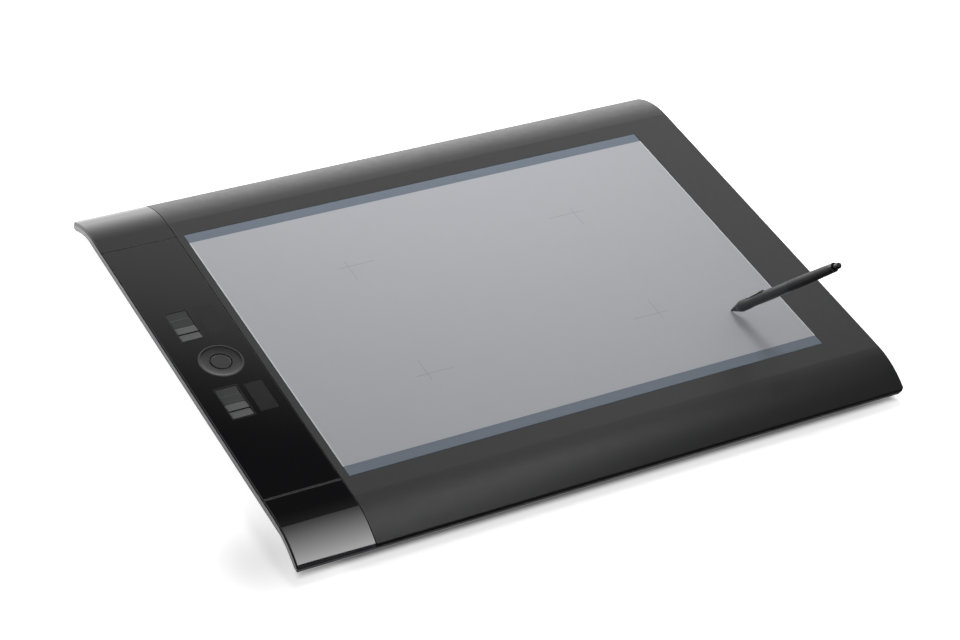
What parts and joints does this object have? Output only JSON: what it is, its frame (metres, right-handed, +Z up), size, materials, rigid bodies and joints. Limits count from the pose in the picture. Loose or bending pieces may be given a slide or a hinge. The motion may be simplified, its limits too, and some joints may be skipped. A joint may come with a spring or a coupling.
{
  "type": "graphics tablet",
  "caption": "Wide pen tablet with an arched casing, flush drawing sheet, gloss strip of keys with a touch ring and small displays, and its pen standing on the sheet.",
  "frame": {"origin": "middle of the footprint, on the desk plane under the rubber feet", "axes": "+X to the right along the long side, from the key strip to the drawing area; +Y to the rear; +Z up"},
  "size_m": [0.623, 0.462, 0.1531],
  "materials": {
    "casing_matte": "fine matte texture",
    "casing_under": "fine matte texture",
    "sheet_film": "paper-like drawing texture",
    "plate_plastic": "plain moulding",
    "strip_gloss": "mirror-smooth black",
    "key_matte": "satin",
    "key_trim": "satin",
    "ring_matte": "satin",
    "lens_smoke": "smoked lens",
    "display_glass": "dark display, switched off",
    "board_green": "solder mask",
    "chip_black": "moulded package",
    "flex_amber": "polyimide film",
    "shield_metal": "plain sheet",
    "port_metal": "plated shell",
    "screw_steel": "zinc plated",
    "foot_rubber": "matte rubber",
    "pen_rubber": "soft grip",
    "pen_matte": "satin",
    "pen_gloss": "gloss black",
    "nib_plastic": "hard acetal",
    "coil_copper": "enamelled winding"
  },
  "bodies": {
    "tablet": {"board_screws": "screw_steel", "casing_screws": "screw_steel", "control_board": "board_green", "control_chips": "chip_black", "display_lens_front": "lens_smoke", "display_lens_rear": "lens_smoke", "display_modules": "display_glass", "drawing_sheet": "sheet_film", "key_board": "board_green", "key_flex": "flex_amber", "key_frame_front": "key_trim", "key_frame_rear": "key_trim", "key_switches": "chip_black", "lower_casing": "casing_under", "port_shells": "port_metal", "rubber_feet": "foot_rubber", "sensor_board": "board_green", "sensor_flex": "flex_amber", "shield_plate": "shield_metal", "strip_centre_panel": "strip_gloss", "strip_front_cap": "strip_gloss", "strip_rear_cap": "strip_gloss", "surface_plate": "plate_plastic", "touch_ring": "ring_matte", "upper_casing": "casing_matte"},
    "key_rear_1": {"key_rear_1": "key_matte"},
    "key_rear_2": {"key_rear_2": "key_matte"},
    "key_rear_3": {"key_rear_3": "key_matte"},
    "key_rear_4": {"key_rear_4": "key_matte"},
    "key_front_1": {"key_front_1": "key_matte"},
    "key_front_2": {"key_front_2": "key_matte"},
    "key_front_3": {"key_front_3": "key_matte"},
    "key_front_4": {"key_front_4": "key_matte"},
    "toggle_button": {"toggle_button": "ring_matte"},
    "pen_nib": {"pen_nib": "nib_plastic"},
    "pen_switch": {"pen_switch": "pen_gloss"},
    "pen_eraser": {"pen_eraser": "pen_gloss"},
    "pen": {"pen_grip": "pen_rubber", "pen_front_cone": "pen_matte", "pen_barrel": "pen_matte", "pen_tail_cap": "pen_gloss", "pen_front_coil": "coil_copper", "pen_capsule": "port_metal", "pen_board": "board_green", "pen_rear_coil": "coil_copper"}
  },
  "joints": [
    {"name": "key_rear_1_press", "type": "slide", "parent": "tablet", "child": "key_rear_1", "axis": [0, 0, -1], "range_m": [0, 0.0007], "stiffness_N_per_m": 500, "springref_m": -0.0008},
    {"name": "key_rear_2_press", "type": "slide", "parent": "tablet", "child": "key_rear_2", "axis": [0, 0, -1], "range_m": [0, 0.0007], "stiffness_N_per_m": 500, "springref_m": -0.0008},
    {"name": "key_rear_3_press", "type": "slide", "parent": "tablet", "child": "key_rear_3", "axis": [0, 0, -1], "range_m": [0, 0.0007], "stiffness_N_per_m": 500, "springref_m": -0.0008},
    {"name": "key_rear_4_press", "type": "slide", "parent": "tablet", "child": "key_rear_4", "axis": [0, 0, -1], "range_m": [0, 0.0007], "stiffness_N_per_m": 500, "springref_m": -0.0008},
    {"name": "key_front_1_press", "type": "slide", "parent": "tablet", "child": "key_front_1", "axis": [0, 0, -1], "range_m": [0, 0.0007], "stiffness_N_per_m": 500, "springref_m": -0.0008},
    {"name": "key_front_2_press", "type": "slide", "parent": "tablet", "child": "key_front_2", "axis": [0, 0, -1], "range_m": [0, 0.0007], "stiffness_N_per_m": 500, "springref_m": -0.0008},
    {"name": "key_front_3_press", "type": "slide", "parent": "tablet", "child": "key_front_3", "axis": [0, 0, -1], "range_m": [0, 0.0007], "stiffness_N_per_m": 500, "springref_m": -0.0008},
    {"name": "key_front_4_press", "type": "slide", "parent": "tablet", "child": "key_front_4", "axis": [0, 0, -1], "range_m": [0, 0.0007], "stiffness_N_per_m": 500, "springref_m": -0.0008},
    {"name": "toggle_press", "type": "slide", "parent": "tablet", "child": "toggle_button", "axis": [0, 0, -1], "range_m": [0, 0.0007], "stiffness_N_per_m": 500, "springref_m": -0.0008},
    {"name": "pen_lift", "type": "slide", "parent": "tablet", "child": "pen", "axis": [0.1431, -0.5917, 0.7934], "range_m": [0, 0.1]},
    {"name": "nib_press", "type": "slide", "parent": "pen", "child": "pen_nib", "axis": [0.1431, -0.5917, 0.7934], "range_m": [0, 0.0012], "stiffness_N_per_m": 1500, "springref_m": -0.0004},
    {"name": "side_switch_rock", "type": "hinge", "parent": "pen", "child": "pen_switch", "pos_m": [0.20857, -0.1166, 0.06186], "axis": [-0.972, -0.2351, 0], "range_deg": [-2, 2], "stiffness_Nm_per_rad": 0.15},
    {"name": "eraser_press", "type": "slide", "parent": "pen", "child": "pen_eraser", "axis": [-0.1431, 0.5917, -0.7934], "range_m": [0, 0.0006], "stiffness_N_per_m": 2000, "springref_m": -0.0004}
  ]
}
